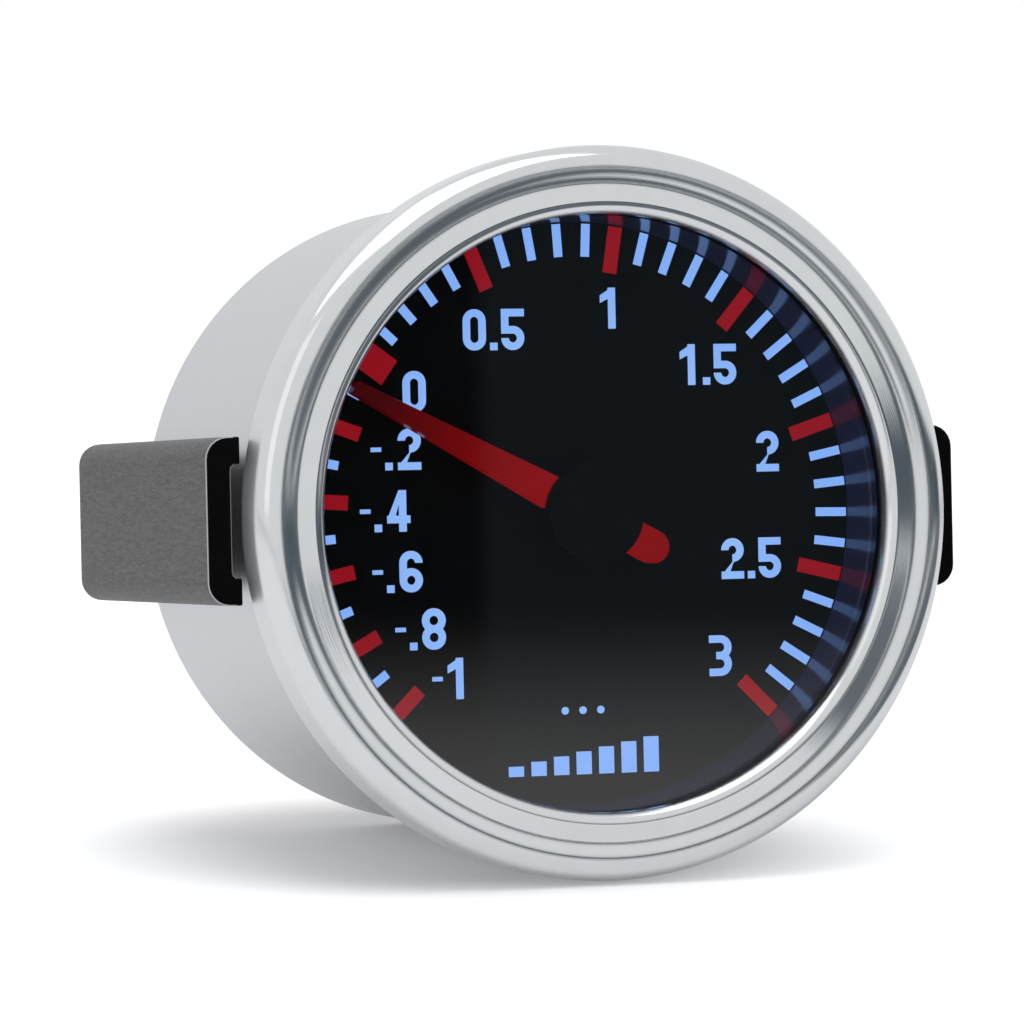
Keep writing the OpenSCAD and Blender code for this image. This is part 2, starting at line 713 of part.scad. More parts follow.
module motor_stator() color("slategray") slab(stator_front_y, stator_back_y) difference() {
    union() {
        translate(rotor_at) circle(pole_out_r);
        translate([0, stator_top]) bar_2d(2 * coil_x() + core_w, stator_bar_w);
        translate(rotor_at) bar_2d(2 * coil_x() + core_w, stator_bar_w);
        for (x = [-coil_x(), 0, coil_x()])
            translate([x, (rotor_at[1] + stator_top) / 2]) bar_2d(core_w, stator_top - rotor_at[1]);
    }
    translate(rotor_at) circle(pole_in_r);
}

module motor_coils() color("peru") for (side = [-1, 1]) {
    low = rotor_at[1] + stator_bar_w / 2 + axial_play;
    high = stator_top - stator_bar_w / 2 - axial_play;
    difference() {
        slab(coil_front_y, coil_front_y + coil_w)
            translate([side * coil_x(), (low + high) / 2]) bar_2d(coil_w, high - low);
        slab(stator_front_y - hole_clearance, stator_back_y + hole_clearance)
            translate([side * coil_x(), (low + high) / 2])
                bar_2d(core_w + 2 * hole_clearance, high - low + 2 * cut);
    }
}

pivot_front_y = motor_inner_front_y - bearing_depth + bearing_end_play;
pivot_back_y = motor_inner_back_y + bearing_depth - bearing_end_play;

module motor_rotor() color("dimgray") {
    slab(pivot_front_y, pivot_back_y) translate(rotor_at) circle(pivot_r);
    slab(idler_wheel_y - axial_play / 2, idler_wheel_y + wheel_t + axial_play / 2)
        translate(rotor_at) rotate(rotor_phase) gear_2d(pinion_teeth);
    slab(magnet_front_y, magnet_front_y + magnet_h) translate(rotor_at) circle(magnet_r);
}

module idler_gear() color("ivory") {
    slab(pivot_front_y, pivot_back_y) translate(idler_at) circle(pivot_r);
    slab(output_wheel_y - axial_play / 3, idler_wheel_y)
        translate(idler_at) rotate(idler_pinion_phase) gear_2d(pinion_teeth);
    slab(idler_wheel_y, idler_wheel_y + wheel_t) translate(idler_at) rotate(wheel_phase) gear_2d(wheel_teeth);
}

module output_gear() color("ivory") {
    slab(shaft_end_y, output_wheel_y + wheel_t) circle(shaft_r);
    slab(output_wheel_y, pivot_back_y) circle(pivot_r);
    slab(output_wheel_y, output_wheel_y + wheel_t) rotate(wheel_phase) gear_2d(wheel_teeth);
}

module controller_chip() color([0.05, 0.05, 0.06])
    slab(board_back_y, board_back_y + chip_h) translate(chip_at) bar_2d(chip_size, chip_size);

module link_places() for (i = [0:link_count - 1])
    translate([link_x, link_z + (i - (link_count - 1) / 2) * link_pitch]) children();

module link_pins() color("gold") slab(board_back_y, rear_board_front_y) link_places() bar_2d(pin_w, pin_w);

module link_blocks() color([0.05, 0.05, 0.06]) for (y = [board_back_y, rear_board_front_y - link_block[1]])
    slab(y, y + link_block[1]) difference() {
        translate([link_x, link_z]) bar_2d(link_block[0], link_count * link_pitch);
        link_places() bar_2d(pin_w + hole_clearance, pin_w + hole_clearance);
    }

module socket_places(offset, count) for (i = [0:count - 1])
    translate([(i - (count - 1) / 2) * pin_pitch, offset]) children();
power_pin_count = 4;
sensor_pin_count = 3;

module rear_board() color("darkgreen") slab(rear_board_front_y, rear_board_back_y) difference() {
    circle(inner_r);
    around(spacer_circle_r, spacer_angles) circle(screw_hole_r);
    socket_places(socket_offset, power_pin_count) bar_2d(pin_w + hole_clearance, pin_w + hole_clearance);
    socket_places(-socket_offset, sensor_pin_count) bar_2d(pin_w + hole_clearance, pin_w + hole_clearance);
}

module capacitor() color("midnightblue")
    slab(rear_board_front_y - capacitor_h, rear_board_front_y) translate(capacitor_at) circle(capacitor_r);

module regulator() color([0.05, 0.05, 0.06])
    slab(rear_board_front_y - regulator_h, rear_board_front_y)
        translate(regulator_at) bar_2d(regulator_size[0], regulator_size[1]);

module socket(width, offset, count) difference() {
    slab(rear_board_back_y, socket_back_y) translate([0, offset]) bar_2d(width, socket_h);
    slab(rear_board_back_y + socket_floor_t, socket_back_y + cut)
        translate([0, offset]) bar_2d(width - 2 * socket_wall, socket_h - 2 * socket_wall);
    slab(rear_board_back_y - cut, rear_board_back_y + socket_floor_t + cut)
        socket_places(offset, count) bar_2d(pin_w + hole_clearance, pin_w + hole_clearance);
}

module pins(offset, count)
    slab(rear_board_front_y - pin_tail, pin_tip_y) socket_places(offset, count) bar_2d(pin_w, pin_w);

module power_socket() color("whitesmoke") socket(power_socket_w, socket_offset, power_pin_count);
module power_pins() color("gold") pins(socket_offset, power_pin_count);
module sensor_socket() color("whitesmoke") socket(sensor_socket_w, -socket_offset, sensor_pin_count);
module sensor_pins() color("gold") pins(-socket_offset, sensor_pin_count);

module stud_places() for (side = [-1, 1]) translate([side * stud_x, 0]) children();

module rear_cover() color([0.08, 0.08, 0.09]) difference() {
    union() {
        slab(cover_front_y, cover_back_y) circle(inner_r);
        slab(cover_front_y, body_len) circle(cover_hub_r);
        slab(cover_front_y, body_len + stud_boss_h) stud_places() circle(stud_boss_r);
        slab(rear_board_back_y, cover_front_y) around(spacer_circle_r, spacer_angles) circle(cover_post_r);
    }
    slab(cover_front_y - cut, body_len + stud_boss_h + cut) stud_places() circle(stud_r + bearing_clearance);
    slab(rear_board_back_y - cut, body_len + cut) around(spacer_circle_r, spacer_angles) circle(screw_hole_r);
    slab(body_len - cover_head_h, body_len + cut)
        around(spacer_circle_r, spacer_angles) circle(cover_head_r + hole_clearance);
    slab(cover_front_y - cut, body_len + cut) {
        translate([0, socket_offset])
            bar_2d(power_socket_w + 2 * hole_clearance, socket_h + 2 * hole_clearance);
        translate([0, -socket_offset])
            bar_2d(sensor_socket_w + 2 * hole_clearance, socket_h + 2 * hole_clearance);
    }
}

module cover_screws() color("lightgrey") {
    slab(body_len - cover_head_h, body_len) around(spacer_circle_r, spacer_angles) circle(cover_head_r);
    slab(rear_board_front_y - thread_depth, body_len - cover_head_h)
        around(spacer_circle_r, spacer_angles) circle(screw_r);
}

module mounting_studs() color("lightgrey") {
    slab(cover_front_y - stud_head_h, cover_front_y) stud_places() hexagon_2d(stud_head_flats);
    slab(cover_front_y, stud_end_y) stud_places() circle(stud_r);
}

// The bracket's plan is a U with round corners; its long outer edges are rounded as well
module bracket_plan_2d() difference() {
    rounded_2d(-leg_reach, leg_reach, foot_gap - bracket_corner_r, bar_back_y, bracket_corner_r);
    inner = leg_reach - bracket_web;
    inner_corner_r = bracket_corner_r - bracket_web;
    rounded_2d(-inner, inner, foot_gap - 2 * bracket_corner_r, bar_front_y, inner_corner_r);
    translate([-leg_reach - cut, foot_gap - 2 * bracket_corner_r])
        square([2 * (leg_reach + cut), 2 * bracket_corner_r]);
}

module bracket() color([0.07, 0.07, 0.08]) difference() {
    intersection() {
        union() {
            translate([0, 0, -bracket_h / 2]) linear_extrude(bracket_h) bracket_plan_2d();
            for (x_side = [-1, 1], z_side = [-1, 1])
                slab(foot_gap, bar_front_y)
                    translate([x_side * (leg_reach - leg_depth / 2),
                        z_side * (bracket_h - leg_flange_t) / 2]) bar_2d(leg_depth, leg_flange_t);
        }
        slab(foot_gap, bar_back_y)
            rounded_2d(-leg_reach, leg_reach, -bracket_h / 2, bracket_h / 2, bracket_edge_r);
        rotate([90, 0, 90]) translate([0, 0, -leg_reach]) linear_extrude(2 * leg_reach)
            rounded_2d(-bar_back_y, bar_back_y, -bracket_h / 2, bracket_h / 2, bracket_edge_r);
    }
    slab(bar_front_y - cut, bar_back_y + cut) stud_places() circle(stud_hole_r);
}

module flat_washers() color("lightgrey")
    slab(bar_back_y, bar_back_y + washer_t) stud_places() ring_2d(washer_r, stud_hole_r);

module spring_washers() color("grey")
    slab(bar_back_y + washer_t, bar_back_y + washer_t + spring_washer_t) stud_places() difference() {
        ring_2d(spring_washer_r, stud_hole_r);
        translate([0, -spring_split_w / 2]) square([spring_washer_r + cut, spring_split_w]);
    }

module clamp_nut(side) color("goldenrod") translate([side * stud_x, 0, 0]) {
    slab(nut_front_y, nut_front_y + nut_collar_h) ring_2d(spring_washer_r, stud_r + bearing_clearance);
    slab(nut_front_y + nut_collar_h, nut_back_y) difference() {
        circle(nut_d / 2);
        circle(stud_r + bearing_clearance);
        around(nut_d / 2, [for (i = [0:nut_flutes - 1]) i * 360 / nut_flutes]) circle(nut_flute_r);
    }
}

module clamp_nut_left() clamp_nut(-1);
module clamp_nut_right() clamp_nut(1);

bezel();
lens();
lens_gasket();
shroud_ring();
body_can();
pointer();
pointer_cap();
dial_face();
scale_marks_white();
scale_marks_red();
light_guide();
light_box();
dial_lamps();
main_board();
board_screws();
motor_case_front();
motor_case_rear();
motor_stator();
motor_coils();
motor_rotor();
idler_gear();
output_gear();
controller_chip();
link_pins();
link_blocks();
board_spacers();
rear_board();
capacitor();
regulator();
power_socket();
power_pins();
sensor_socket();
sensor_pins();
rear_cover();
cover_screws();
mounting_studs();
bracket();
flat_washers();
spring_washers();
clamp_nut_left();
clamp_nut_right();
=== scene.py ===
# %% [markdown]
# # A boost gauge in a bright studio
# The gauge is a spun metal can with a rounded bezel, a lit dial under glass and a black clamp
# bracket behind. The packed model already holds every solid in its place, so this lesson keeps
# those solids as the frame and gives the visible ones finer shapes and real finishes.

# %% Load the packed model
import math
import bpy
from mathutils import Matrix, Vector


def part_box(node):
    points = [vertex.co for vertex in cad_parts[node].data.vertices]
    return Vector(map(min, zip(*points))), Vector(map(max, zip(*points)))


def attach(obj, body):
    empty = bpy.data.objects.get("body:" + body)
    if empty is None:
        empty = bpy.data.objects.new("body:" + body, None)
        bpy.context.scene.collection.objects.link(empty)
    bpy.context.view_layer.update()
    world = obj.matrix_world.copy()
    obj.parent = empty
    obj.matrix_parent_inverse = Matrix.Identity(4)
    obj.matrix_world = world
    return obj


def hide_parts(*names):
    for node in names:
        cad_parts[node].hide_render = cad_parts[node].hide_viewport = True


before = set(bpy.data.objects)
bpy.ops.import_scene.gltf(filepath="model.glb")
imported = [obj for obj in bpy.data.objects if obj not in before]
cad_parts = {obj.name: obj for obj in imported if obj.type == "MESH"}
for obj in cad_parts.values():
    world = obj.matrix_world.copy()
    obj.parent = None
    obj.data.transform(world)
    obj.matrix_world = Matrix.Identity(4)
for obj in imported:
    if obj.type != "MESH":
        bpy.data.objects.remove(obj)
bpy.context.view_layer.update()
MM = 0.001
print("nodes:", len(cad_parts))

# %% [markdown]
# ## Camera
# The photograph is taken with a long lens from the left and a little above the table. Its place
# was found by fitting the circles of the bezel, the window, the dial and the can to the picture,
# so the numbers are in the gauge's own frame, in millimetres.

# %% Camera
PHOTO_SIDE = 1024
FOCAL_PIXELS = 5381.5
CAMERA_PLACE = Vector((-148.246, -396.125, 1.889)) * MM
LOOK = Vector((0.33674, 0.94159, -0.00394)).normalized()
SKYWARD = Vector((0.02155, -0.00352, 0.99976))

lens_body = bpy.data.cameras.new("camera")
lens_body.sensor_width = 36
lens_body.lens = FOCAL_PIXELS / PHOTO_SIDE * lens_body.sensor_width
lens_body.clip_start = 0.01
camera = bpy.data.objects.new("camera", lens_body)
bpy.context.scene.collection.objects.link(camera)
rightward = LOOK.cross(SKYWARD).normalized()
axes = Matrix((rightward, rightward.cross(LOOK), -LOOK)).transposed()
camera.matrix_world = Matrix.Translation(CAMERA_PLACE) @ axes.to_4x4()
bpy.context.scene.camera = camera
bpy.context.scene.view_settings.view_transform = "Standard"
print("lens", round(lens_body.lens, 1), "mm")

# %% [markdown]
# ## Finishes
# A finish is a set of nodes. Long node trees are hard to read as calls, so a value on its way
# through the tree is wrapped in a small class. Then a sum of values is written as a sum, and each
# plus or times adds the Math node that does it.

# %% Values that can be added and multiplied
class Wire:
    """A value on its way through a finish."""

    def __init__(self, finish, socket):
        self.finish = finish
        self.socket = socket

    def maths(self, operation, first, second=0.0):
        return self.finish.node("Math", {"operation": operation}, [first, second])

    def __add__(self, other):
        return self.maths("ADD", self, other)

    def __sub__(self, other):
        return self.maths("SUBTRACT", self, other)

    def __rsub__(self, other):
        return self.maths("SUBTRACT", other, self)

    def __mul__(self, other):
        return self.maths("MULTIPLY", self, other)

    def __pow__(self, other):
        return self.maths("POWER", self, other)

    def largest(self, other):
        return self.maths("MAXIMUM", self, other)

    def between(self, low, high):
        """0 below low, 1 above high and a soft step between them."""
        return self.finish.node("MapRange", {"interpolation_type": "SMOOTHSTEP"},
                                {"Value": self, "From Min": low, "From Max": high})


print("a wire has", ", ".join(name for name in vars(Wire) if not name.startswith("_")))

# %% [markdown]
# The class below makes a material with one main shader. Its method `node` adds any node: first its
# type, then its settings, then the values or links of its sockets. Outputs go by number, so the few
# that are used often get names first. The other methods are the few patterns that this gauge needs:
# a place on the piece, a soft noise, a mix of two colours, a bump.

# %% A material and its nodes
OBJECT_PLACE = 3
CAMERA_RAY, MIRROR_RAY, GLASS_RAY = 0, 3, 6


class Finish:
    """A procedural material with one Principled shader."""

    def __init__(self, name, colour, roughness, metallic=0.0, **constants):
        self.material = bpy.data.materials.new(name)
        self.material.use_nodes = True
        self.tree = self.material.node_tree
        self.shader = self.tree.nodes["Principled BSDF"]
        self.colour = colour
        self.set("Base Color", colour)
        self.set("Roughness", roughness)
        self.set("Metallic", metallic)
        for socket, value in constants.items():
            self.set(socket.replace("_", " "), value)

    def feed(self, socket, value):
        if isinstance(value, Wire):
            self.tree.links.new(value.socket, socket)
        elif socket.type == "RGBA":
            socket.default_value = tuple(value)[:3] + (1.0,)
        else:
            socket.default_value = value

    def set(self, socket, value):
        self.feed(self.shader.inputs[socket], value)

    def node(self, kind, settings=None, values=None, output=0):
        made = self.tree.nodes.new("ShaderNode" + kind)
        for setting, value in (settings or {}).items():
            setattr(made, setting, value)
        rows = enumerate(values) if isinstance(values, list) else (values or {}).items()
        for socket, value in rows:
            self.feed(made.inputs[socket], value)
        return Wire(self, made.outputs[output])

    def place(self):
        return self.node("TexCoord", output=OBJECT_PLACE)

    def parts(self, vector=None):
        split = self.tree.nodes.new("ShaderNodeSeparateXYZ")
        self.feed(split.inputs[0], vector or self.place())
        return [Wire(self, out) for out in split.outputs]

    def noise(self, cell, stretch=(1, 1, 1), detail=2.0, seed=0.0):
        """Soft noise whose cells are about that many millimetres, longer where stretch is above 1."""
        scale = [1.0 / (cell * MM * s) for s in stretch]
        spread = self.node("Mapping", None, {"Vector": self.place(), "Scale": scale,
                                             "Location": (seed, seed, seed)})
        return self.node("TexNoise", None, {"Vector": spread, "Scale": 1.0, "Detail": detail})

    def ray(self, kind):
        """1 where light is followed from that kind of ray, else 0."""
        return self.node("LightPath", output=kind)

    def mix(self, factor, first, second):
        return self.node("Mix", {"data_type": "RGBA"}, {0: factor, 6: first, 7: second}, output=2)

    def bump(self, height, depth):
        """Bumps that stand that many millimetres out of the surface."""
        self.set("Normal", self.node("Bump", None, {"Height": height, "Distance": depth * MM}))

    def vary(self, wire, amount):
        """Base colour that goes a share darker and lighter with the wire."""
        dark = [c * (1 - amount) for c in self.colour]
        light = [min(1.0, c * (1 + amount)) for c in self.colour]
        self.set("Base Color", self.mix(wire, dark, light))


def srgb(red, green, blue):
    """A colour as a screen shows it, turned into light."""
    def light(value):
        share = value / 255
        return share / 12.92 if share <= 0.04045 else ((share + 0.055) / 1.055) ** 2.4
    return [light(red), light(green), light(blue)]


print("a mid grey is", [round(c, 3) for c in srgb(128, 128, 128)])

# %% [markdown]
# ## Turned metal
# The bezel and the can are spun and turned, so the tool leaves very fine lines round the axis.
# Single lines are finer than a pixel, but they tilt the reflection to and fro across the line, and
# that smears every reflection outwards and inwards. A noise that changes only with the distance
# from the axis, and with the depth, gives those lines. The bezel's plain side band is duller than
# its bright face, so the roughness goes up where the depth reaches the band.

# %% Lines left by the lathe
def lathe_lines(finish, cell, depth):
    """Fine lines round the Y axis, cell millimetres apart and depth millimetres deep."""
    x, y, z = finish.parts()
    radius = (x * x + z * z) ** 0.5
    across = (radius - y * 1.3) * (1 / (cell * MM))
    lines = finish.node("TexNoise", {"noise_dimensions": "1D"},
                        {"W": across, "Scale": 1.0, "Detail": 2.0})
    finish.bump(lines, depth)


bezel_metal = Finish("turned_aluminium", srgb(226, 228, 229), 0.16, 1.0)
lathe_lines(bezel_metal, 0.07, 0.005)
bezel_metal.vary(bezel_metal.noise(1.6, (1, 6, 1)), 0.03)
side_band = bezel_metal.parts()[1].between(-4.1 * MM, -3.3 * MM)
bezel_metal.set("Roughness", bezel_metal.noise(3.0) * 0.05 + side_band * 0.3 + 0.09)

can_metal = Finish("satin_aluminium", srgb(214, 215, 218), 0.36, 1.0)
lathe_lines(can_metal, 0.12, 0.0012)
can_metal.vary(can_metal.noise(5.0, (1, 0.4, 1)), 0.02)
print("finishes:", bezel_metal.material.name, can_metal.material.name)

# %% [markdown]
# ## Anodised bracket
# The bracket is bent sheet with a black anodised skin. Its broad outer faces were brushed along
# their length first, which leaves short pale scratches. Their grey is painted light: the room's
# white given back by the thin dull skin where it faces the lamps. The noise is stretched along Y on
# the legs. The cut ends are painted near black as painted shade, and a thin pale line on the edge
# between the two is a painted highlight.

# %% Brushed black, with painted light and painted shade
# Painted light: the grey of the broad faces. Painted shade: the near black of the cut ends.
PAINTED_LIT_GREY = srgb(112, 112, 112)
PAINTED_SHADE_BLACK = srgb(7, 7, 8)
bracket_black = Finish("black_anodised_brushed", PAINTED_LIT_GREY, 0.42, 0.6, Specular_IOR_Level=0.04)
scratches = bracket_black.noise(0.16, (1, 9, 1), 3.0)
blotches = bracket_black.noise(0.22, (1, 1.6, 1), 3.0, 7.0)
marks = scratches * 0.6 + blotches * 0.4
across, depth = bracket_black.parts()[:2]
outer_side = across.maths("ABSOLUTE", across).between(28.9 * MM, 29.2 * MM)
rear_side = depth.between(39.9 * MM, 40.1 * MM)
behind_edge = depth.between(0.46 * MM, 0.56 * MM)
# The faces that get the painted light: the legs' outer faces behind the front ends, and the bar's rear
# face.
painted_lit_faces = (behind_edge * outer_side).largest(rear_side)
scratched_lit_grey = bracket_black.mix(marks.between(0.3, 0.7), srgb(74, 74, 74), srgb(112, 112, 111))
# The skin mixes the painted shade of the ends with the painted light of the faces.
skin = bracket_black.mix(painted_lit_faces, PAINTED_SHADE_BLACK, scratched_lit_grey)
# A thin pale band on the legs' outer faces, just behind the front ends, is a painted highlight.
highlight_line = depth.between(0.41 * MM, 0.43 * MM) * (1 - depth.between(0.5 * MM, 0.56 * MM))
painted_edge_highlight = highlight_line * outer_side
bracket_black.set("Base Color", bracket_black.mix(painted_edge_highlight * 0.9, skin, srgb(205, 205, 205)))
bracket_black.set("Metallic", painted_lit_faces.largest(painted_edge_highlight) * 0.6)
bracket_black.set("Roughness", marks * 0.16 + 0.36)
bracket_black.bump(marks, 0.004)
print("bracket finish made")

# %% [markdown]
# ## Plastics, glass and lit print
# Moulded plastic has a faint grain. The glass has a weak reflection, as on a coated lens. The
# marks are windows in the print with lamps behind them, so they give light of their own: a little
# whiter in the middle of the dial, where the lamps are nearer, and bluer at the rim.

# %% Moulded and clear pieces
GRAIN_DEPTH = 0.006


def moulded(name, colour, roughness, grain=0.25):
    plastic = Finish(name, colour, roughness)
    speckle = plastic.noise(grain, (1, 1, 1), 3.0)
    plastic.vary(speckle, 0.12)
    plastic.set("Roughness", speckle * 0.14 + (roughness - 0.07))
    plastic.bump(speckle, GRAIN_DEPTH)
    return plastic


# The shroud's black is tinted blue: a painted reflection of the glow of the lit marks.
shroud_black_painted_glow = Finish("gloss_black", srgb(50, 54, 90), 0.14)
shroud_black_painted_glow.set("Roughness", shroud_black_painted_glow.noise(2.0) * 0.06 + 0.14)
dial_black = Finish("dial_print_black", srgb(5, 5, 6), 0.5, Specular_IOR_Level=0.04)
dial_black.vary(dial_black.noise(0.8), 0.1)
dial_black.set("Roughness", dial_black.noise(0.3) * 0.1 + 0.45)
matte_black = moulded("matte_black_plastic", srgb(24, 24, 26), 0.5)
cap_black = Finish("cap_black", srgb(5, 5, 6), 0.45, Specular_IOR_Level=0.04)
cap_black.vary(cap_black.noise(0.6), 0.1)
cap_black.set("Roughness", cap_black.noise(0.4) * 0.1 + 0.4)
gasket_black = moulded("black_rubber", srgb(16, 16, 17), 0.7)
glass = Finish("coated_glass", (1.0, 1.0, 1.0), 0.0, 0.0, Transmission_Weight=1.0, IOR=1.45,
               Specular_IOR_Level=0.17)
glass.set("Roughness", glass.noise(9.0) * 0.01)
clear_plastic = Finish("clear_acrylic", srgb(236, 242, 250), 0.1, 0.0, Transmission_Weight=0.9)
clear_plastic.set("Roughness", clear_plastic.noise(2.0) * 0.1 + 0.05)
box_white = moulded("white_moulding", srgb(232, 232, 230), 0.45)
socket_white = moulded("socket_nylon", srgb(222, 219, 208), 0.42, 0.3)
gear_cream = moulded("gear_plastic", srgb(226, 220, 200), 0.4)
print("plastics, rubber and glass made")

# %% Lit print and the lit pointer
def lit(name, centre_light, rim_light, skin, roughness, reach):
    """Skin with light from inside: centre_light on the axis, rim_light at reach millimetres."""
    glow = Finish(name, skin, roughness, Emission_Strength=1.0, Specular_IOR_Level=0.06)
    x, y, z = glow.parts()
    outward = ((x * x + z * z) ** 0.5).between(0.12 * reach * MM, reach * MM)
    wave = glow.noise(1.4) * 0.2 - 0.1
    glow.set("Emission Color", glow.mix(outward + wave, centre_light, rim_light))
    return glow


blue_white = lit("lit_white_print", srgb(160, 202, 255), srgb(132, 176, 250), srgb(30, 40, 60), 0.5, 23)
lit_red = lit("lit_red_print", srgb(150, 16, 26), srgb(140, 12, 26), srgb(40, 4, 6), 0.5, 23)
pointer_red = lit("lit_red_pointer", srgb(132, 4, 8), srgb(54, 1, 2), srgb(50, 2, 3), 0.22, 22)
print("lit finishes made")

# %% [markdown]
# ## Metals and boards inside and behind
# The rear carries turned brass nuts, zinc plated studs and washers and gilt pins. Inside there are
# green boards, a steel stator, copper coils and a magnet. They are hidden by the can, but a part
# can be opened, so each has its own finish too.

# %% Small metals
def small_metal(name, colour, roughness):
    metal = Finish(name, colour, roughness, 1.0)
    cloud = metal.noise(0.5, (1, 1, 1), 3.0)
    metal.vary(cloud, 0.1)
    metal.set("Roughness", cloud * 0.16 + (roughness - 0.08))
    return metal


zinc = small_metal("zinc_plate", srgb(196, 198, 200), 0.3)
spring_steel = small_metal("spring_steel", srgb(128, 128, 130), 0.34)
brass = Finish("turned_brass", srgb(214, 178, 104), 0.24, 1.0)
brass.vary(brass.noise(0.7), 0.08)
brass.set("Roughness", brass.noise(0.4) * 0.12 + 0.18)
gilt = small_metal("gilt_pin", srgb(230, 196, 120), 0.22)
stator_steel = small_metal("stator_steel", srgb(120, 124, 130), 0.4)
magnet_grey = small_metal("magnet_grey", srgb(84, 84, 88), 0.5)
sleeve_blue = moulded("capacitor_sleeve", srgb(24, 30, 58), 0.35)
lamp_cream = moulded("lamp_body", srgb(240, 232, 196), 0.35)

copper = Finish("wound_copper", srgb(196, 112, 62), 0.3, 1.0)
turns = copper.node("TexWave", {"bands_direction": "Z"}, {"Vector": copper.place(), "Scale": 900.0})
copper.vary(turns, 0.3)
copper.bump(turns, 0.05)

board_green = Finish("board_green", srgb(20, 74, 40), 0.35)
tracks = board_green.node("TexBrick", None, {"Vector": board_green.place(), "Scale": 420.0,
                                             "Color1": (0.02, 0.12, 0.05), "Color2": (0.03, 0.16, 0.07),
                                             "Mortar": (0.01, 0.07, 0.03), "Mortar Size": 0.03})
board_green.set("Base Color", tracks)
print("metals and boards made")

# %% [markdown] ## Dressing a piece Every piece ends the same way.

# %% Selecting and dressing
def only(piece):
    """Make one piece the active and only selected one."""
    if bpy.context.object and bpy.context.object.mode == "EDIT":
        bpy.ops.object.mode_set(mode="OBJECT")
    bpy.ops.object.select_all(action="DESELECT")
    bpy.context.view_layer.objects.active = piece
    piece.select_set(True)


def finish_piece(piece, finish, body, slot, *nodes, smooth=30.0):
    """Give a piece its finish and body, and hide the nodes that it stands in for. The slot is not used.
    """
    only(piece)
    bpy.ops.object.shade_smooth_by_angle(angle=math.radians(smooth))
    even = piece.modifiers.new("even", "WEIGHTED_NORMAL")
    even.weight = 100
    even.keep_sharp = True
    bpy.ops.object.modifier_apply(modifier=even.name)
    piece.data.materials.clear()
    piece.data.materials.append(finish.material)
    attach(piece, body)
    if nodes:
        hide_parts(*nodes)
    print(piece.name, len(piece.data.polygons), "faces")
    return piece


# %% [markdown]
# ## Tools for turned pieces
# A turned piece starts as a ring of points, one for each corner of its section. The points are
# moved to the section's outline, and spin carries it round the axis. A corner that the lathe tool
# leaves rounded becomes a short arc of points first.

# %% Outlines
def arc(centre, radius, start, end, steps):
    """Points [radius, depth] on an arc. Angle 0 points outwards and 90 to the front."""
    turns = [math.radians(start + (end - start) * i / steps) for i in range(steps + 1)]
    return [[centre[0] + radius * math.cos(t), centre[1] - radius * math.sin(t)] for t in turns]


def rounded(corners, steps=4):
    """An outline from corners [radius, depth, rounding], each rounded to a short arc."""
    outline = []
    for i, (r, y, rounding) in enumerate(corners):
        if rounding == 0:
            outline.append([r, y])
            continue
        here = Vector((r, y))
        before = (Vector(corners[i - 1][:2]) - here).normalized()
        after = (Vector(corners[(i + 1) % len(corners)][:2]) - here).normalized()
        half = before.angle(after) / 2
        centre = here + (before + after).normalized() * rounding / math.sin(half)
        first = here + before * rounding / math.tan(half) - centre
        last = here + after * rounding / math.tan(half) - centre
        for k in range(steps + 1):
            share = k / steps
            outline.append(list(centre + first.slerp(last, share).normalized() * rounding))
    return outline


print("a quarter turn in 4 steps has", len(arc([0, 0], 1.0, 0, 90, 4)), "points")

# %% Spinning an outline
def turned_piece(name, outline, steps=256, centre=(0.0, 0.0)):
    """Spin an outline of [radius, depth] points, in millimetres, round an axis along Y."""
    bpy.ops.object.select_all(action="DESELECT")
    bpy.ops.mesh.primitive_circle_add(vertices=len(outline), radius=MM)
    piece = bpy.context.object
    piece.name = name
    for vertex, (r, y) in zip(piece.data.vertices, outline):
        vertex.co = (centre[0] * MM + r * MM, y * MM, centre[1] * MM)
    bpy.ops.object.mode_set(mode="EDIT")
    bpy.ops.mesh.select_all(action="SELECT")
    bpy.ops.mesh.spin(steps=steps, angle=math.tau, axis=(0, 1, 0),
                      center=(centre[0] * MM, 0, centre[1] * MM))
    bpy.ops.mesh.select_all(action="SELECT")
    bpy.ops.mesh.remove_doubles(threshold=2e-6)
    bpy.ops.mesh.delete_loose(use_verts=True, use_edges=True, use_faces=False)
    bpy.ops.mesh.select_all(action="SELECT")
    bpy.ops.mesh.normals_make_consistent(inside=False)
    bpy.ops.object.mode_set(mode="OBJECT")
    print("turned", name, "from", len(outline), "points")
    return piece


# %% [markdown]
# ## Bezel
# The bezel is spun from sheet and turned bright. From the rim inwards it has a plain side band, a
# half round bead, a shallow groove, and a smaller ring that rolls down to the window. Mirrored
# light shows every kink in such a section, so the bead and the ring are true arcs, and the groove
# runs off both of them along their tangents.

# %% Bezel
bezel_low, bezel_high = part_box("bezel")
BEZEL_R = bezel_high.x / MM
BEAD_FRONT = bezel_low.y / MM
LENS_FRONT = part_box("lens")[0].y / MM
CAN_R = 26.0
WINDOW_R = 23.3
POCKET_R = 27.3
FLANGE_BACK = -0.8
SEAT_R = CAN_R + 0.1
REAR_ROUND = 0.25
BEAD_R = 1.75
RING_R = 0.9
rear_edge = arc([BEZEL_R - REAR_ROUND, -REAR_ROUND], REAR_ROUND, -90, 0, 5)
bead = arc([BEZEL_R - BEAD_R, BEAD_FRONT + BEAD_R], BEAD_R, 0, 112, 28)
inner_ring = arc([24.2, -4.0], RING_R, 80, 165, 20)
groove = rounded([bead[-1] + [0.0], [25.81, -4.63, 1.6], inner_ring[0] + [0.0]], 10)
pocket = [[WINDOW_R, LENS_FRONT], [POCKET_R, LENS_FRONT], [POCKET_R, FLANGE_BACK],
          [SEAT_R, FLANGE_BACK], [SEAT_R, 0.0]]
bezel_outline = rear_edge + bead + groove[1:-1] + inner_ring + pocket
bezel = turned_piece("bezel_ring", bezel_outline)
finish_piece(bezel, bezel_metal, "case", "polished_aluminium", "bezel", smooth=26)
